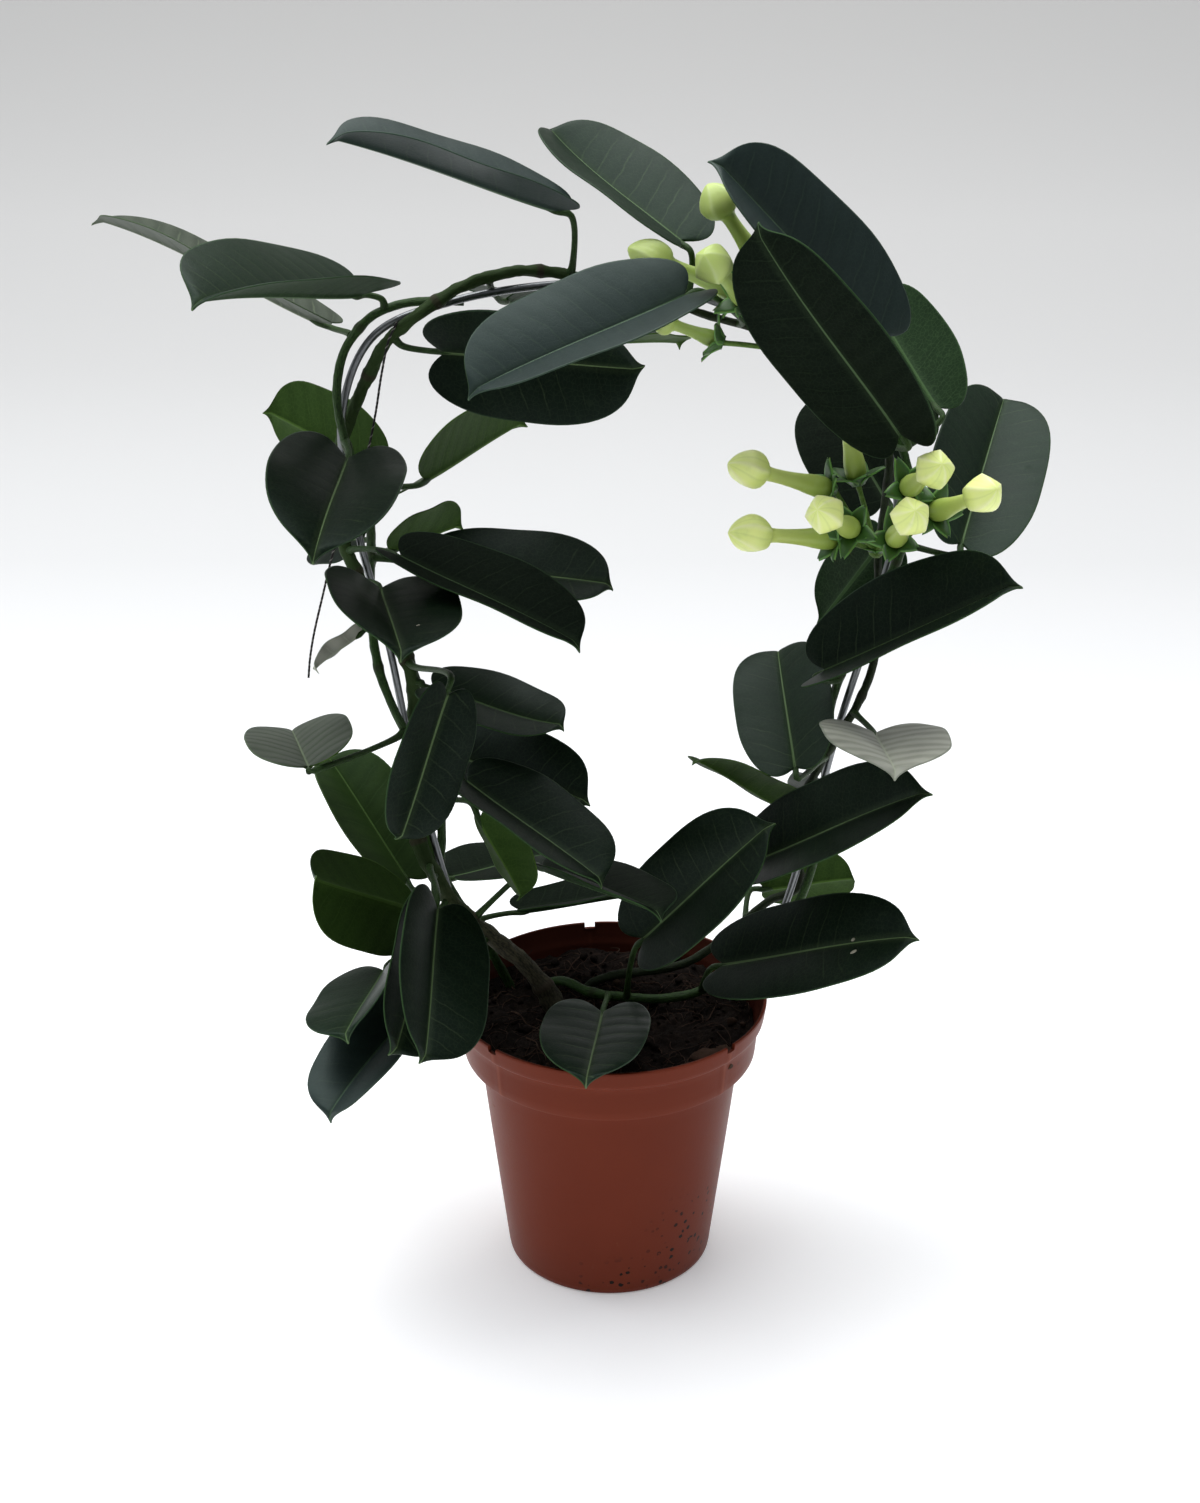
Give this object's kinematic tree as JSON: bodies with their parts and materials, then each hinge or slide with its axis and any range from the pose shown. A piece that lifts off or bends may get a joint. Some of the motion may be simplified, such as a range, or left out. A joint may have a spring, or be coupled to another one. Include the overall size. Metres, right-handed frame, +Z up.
{
  "type": "potted madagascar jasmine on a wire hoop",
  "caption": "Climbing plant with thick dark oval leaves and clusters of waxy pale flower buds, wound round a wire hoop that stands in a plastic grower's pot.",
  "frame": {"origin": "centre of the pot's underside, on the surface it stands on", "axes": "+Z up the plant; +X to the right across the hoop's width; +Y back, square to the hoop's plane"},
  "size_m": [0.3727, 0.194, 0.4701],
  "materials": {
    "leaf_blade": "waxy satin, dark green above and paler below",
    "bud_petal": "waxy, pale yellow-green",
    "tie_thread": "twisted dark and white threads",
    "pot_plastic": "satin reddish brown",
    "peat": "loose dark peat with fibres",
    "galvanised_wire": "bright galvanised",
    "vine_bark": "rough brown-green bark",
    "vine_green": "smooth green shoot"
  },
  "bodies": {
    "root": {"leaf_01": "leaf_blade", "leaf_02": "leaf_blade", "leaf_03": "leaf_blade", "leaf_04": "leaf_blade", "leaf_05": "leaf_blade", "leaf_06": "leaf_blade", "leaf_07": "leaf_blade", "leaf_08": "leaf_blade", "leaf_09": "leaf_blade", "leaf_10": "leaf_blade", "leaf_11": "leaf_blade", "leaf_12": "leaf_blade", "leaf_13": "leaf_blade", "leaf_14": "leaf_blade", "leaf_15": "leaf_blade", "leaf_16": "leaf_blade", "leaf_17": "leaf_blade", "leaf_18": "leaf_blade", "leaf_19": "leaf_blade", "leaf_20": "leaf_blade", "leaf_21": "leaf_blade", "leaf_22": "leaf_blade", "leaf_23": "leaf_blade", "leaf_24": "leaf_blade", "leaf_25": "leaf_blade", "leaf_26": "leaf_blade", "leaf_27": "leaf_blade", "leaf_28": "leaf_blade", "leaf_29": "leaf_blade", "leaf_30": "leaf_blade", "leaf_31": "leaf_blade", "leaf_32": "leaf_blade", "leaf_33": "leaf_blade", "leaf_34": "leaf_blade", "leaf_35": "leaf_blade", "leaf_36": "leaf_blade", "leaf_37": "leaf_blade", "leaf_38": "leaf_blade", "leaf_39": "leaf_blade", "leaf_40": "leaf_blade", "leaf_41": "leaf_blade", "leaf_42": "leaf_blade", "leaf_43": "leaf_blade", "leaf_44": "leaf_blade", "leaf_45": "leaf_blade", "leaf_46": "leaf_blade", "leaf_47": "leaf_blade", "leaf_48": "leaf_blade", "leaf_49": "leaf_blade", "umbel_right": "bud_petal", "umbel_top": "bud_petal", "tie_thread": "tie_thread", "pot": "pot_plastic", "soil": "peat", "hoop": "galvanised_wire", "vine_left_old": "vine_bark", "vine_left_young": "vine_green", "vine_right_green": "vine_green", "vine_right_dark": "vine_bark"}
  },
  "joints": []
}
